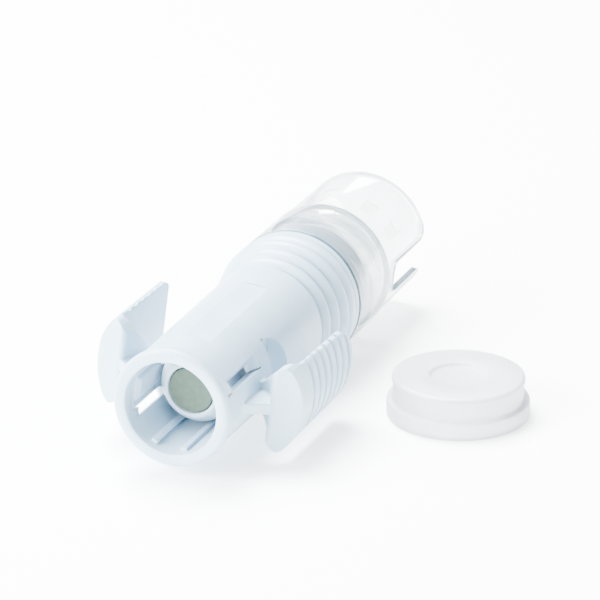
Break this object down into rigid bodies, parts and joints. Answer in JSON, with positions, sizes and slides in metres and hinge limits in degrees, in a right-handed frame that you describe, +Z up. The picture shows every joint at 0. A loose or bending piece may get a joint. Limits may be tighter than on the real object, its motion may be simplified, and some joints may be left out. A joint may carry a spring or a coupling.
{
  "type": "squeeze-release docking adaptor",
  "caption": "White docking adaptor with a septum in its open mouth, squeeze levers at its sides and a clear vial collar, with its push-on dust cap beside it.",
  "frame": {"origin": "centre of the bounding box of the adaptor and its cap, on the surface they lie on", "axes": "+Y along the adaptor's axis from its mouth to its vial collar, +X towards the dust cap, +Z up"},
  "size_m": [0.0638, 0.0852, 0.0239],
  "materials": {
    "white_polypropylene": "satin moulded",
    "lever_polypropylene": "satin moulded",
    "carrier_polypropylene": "satin moulded",
    "septum_elastomer": "matt moulded",
    "seal_elastomer": "matt moulded",
    "spring_steel": "drawn",
    "needle_steel": "polished",
    "filter_membrane": "matt",
    "clear_polycarbonate": "clear moulded",
    "milky_polyethylene": "translucent moulded"
  },
  "bodies": {
    "housing": {"main_housing": "white_polypropylene", "return_spring": "spring_steel", "needle_hub": "white_polypropylene", "liquid_needle": "needle_steel", "vent_needle": "needle_steel", "hub_seal": "seal_elastomer", "filter_support": "white_polypropylene", "filter_membrane": "filter_membrane", "filter_ring": "white_polypropylene", "fluid_filter": "filter_membrane", "end_ring": "white_polypropylene", "clear_sleeve": "clear_polycarbonate", "vial_collar": "clear_polycarbonate", "vial_spike": "clear_polycarbonate"},
    "left_lever": {"left_lever": "lever_polypropylene"},
    "right_lever": {"right_lever": "lever_polypropylene"},
    "septum_carrier": {"septum_carrier": "carrier_polypropylene", "septum": "septum_elastomer", "septum_retainer": "carrier_polypropylene"},
    "dust_cap": {"dust_cap": "milky_polyethylene"}
  },
  "joints": [
    {"name": "left_lever_hinge", "type": "hinge", "parent": "housing", "child": "left_lever", "pos_m": [-0.02289, -0.02605, 0.01319], "axis": [-0.1305, 0, -0.9914], "range_deg": [0, 8], "stiffness_Nm_per_rad": 0.35},
    {"name": "right_lever_hinge", "type": "hinge", "parent": "housing", "child": "right_lever", "pos_m": [-0.00445, -0.02605, 0.01076], "axis": [0.1305, 0, 0.9914], "range_deg": [0, 8], "stiffness_Nm_per_rad": 0.35},
    {"name": "septum_carrier_slide", "type": "slide", "parent": "housing", "child": "septum_carrier", "axis": [0, 1, 0], "range_m": [0, 0.008], "stiffness_N_per_m": 600, "springref_m": -0.002, "deforming": ["return_spring", "septum"]},
    {"name": "dust_cap_lift", "type": "slide", "parent": "housing", "child": "dust_cap", "axis": [0, 0, 1], "range_m": [0, 0.03]}
  ]
}
